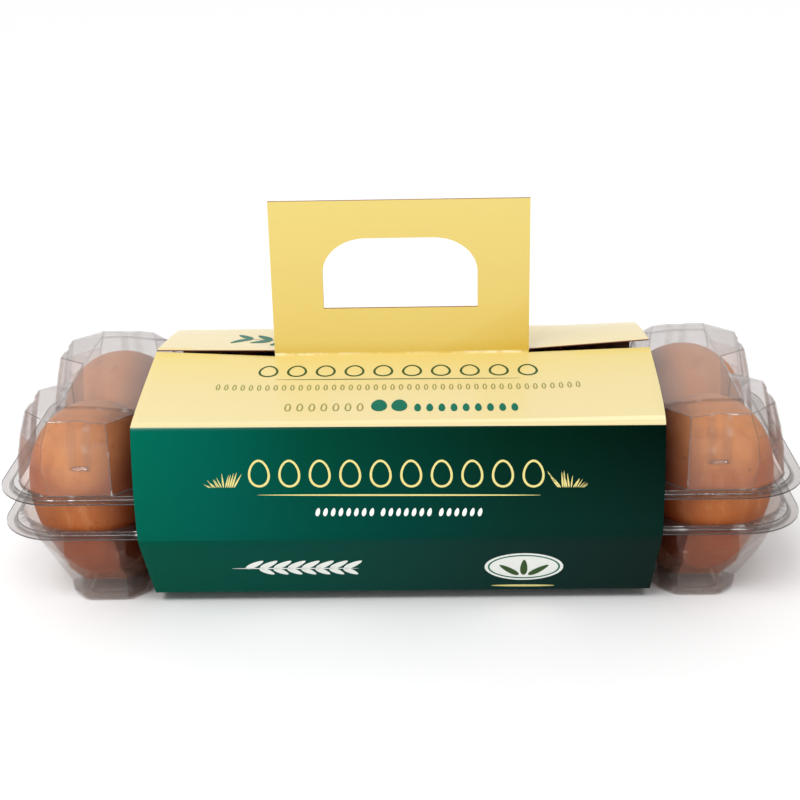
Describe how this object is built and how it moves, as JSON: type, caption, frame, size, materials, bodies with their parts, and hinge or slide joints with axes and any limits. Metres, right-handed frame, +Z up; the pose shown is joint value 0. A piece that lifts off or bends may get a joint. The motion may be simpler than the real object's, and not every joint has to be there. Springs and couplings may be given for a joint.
{
  "type": "egg carton with eggs",
  "caption": "Brown eggs in a clear clamshell tray with octagonal cups and a domed lid, held shut by a printed card sleeve with a carry handle.",
  "frame": {"origin": "middle of the footprint, on the surface that the pack stands on", "axes": "+X along the pack to the right as seen from its printed front, +Y from the printed front to the back, +Z up towards the carry handle"},
  "size_m": [0.252, 0.0986, 0.1219],
  "materials": {
    "clear_plastic": "clear thermoformed PET sheet, glossy, a little hazy where it was drawn thin",
    "printed_card": "coated board printed dark green on the sides and cream yellow on top, gloss varnish",
    "egg_shell": "brown hen's eggshell, satin, faintly speckled"
  },
  "bodies": {
    "root": {"tray": "clear_plastic", "lid": "clear_plastic", "sleeve": "printed_card", "egg_front_1": "egg_shell", "egg_front_2": "egg_shell", "egg_front_3": "egg_shell", "egg_front_4": "egg_shell", "egg_front_5": "egg_shell", "egg_back_1": "egg_shell", "egg_back_2": "egg_shell", "egg_back_3": "egg_shell", "egg_back_4": "egg_shell", "egg_back_5": "egg_shell"}
  },
  "joints": []
}
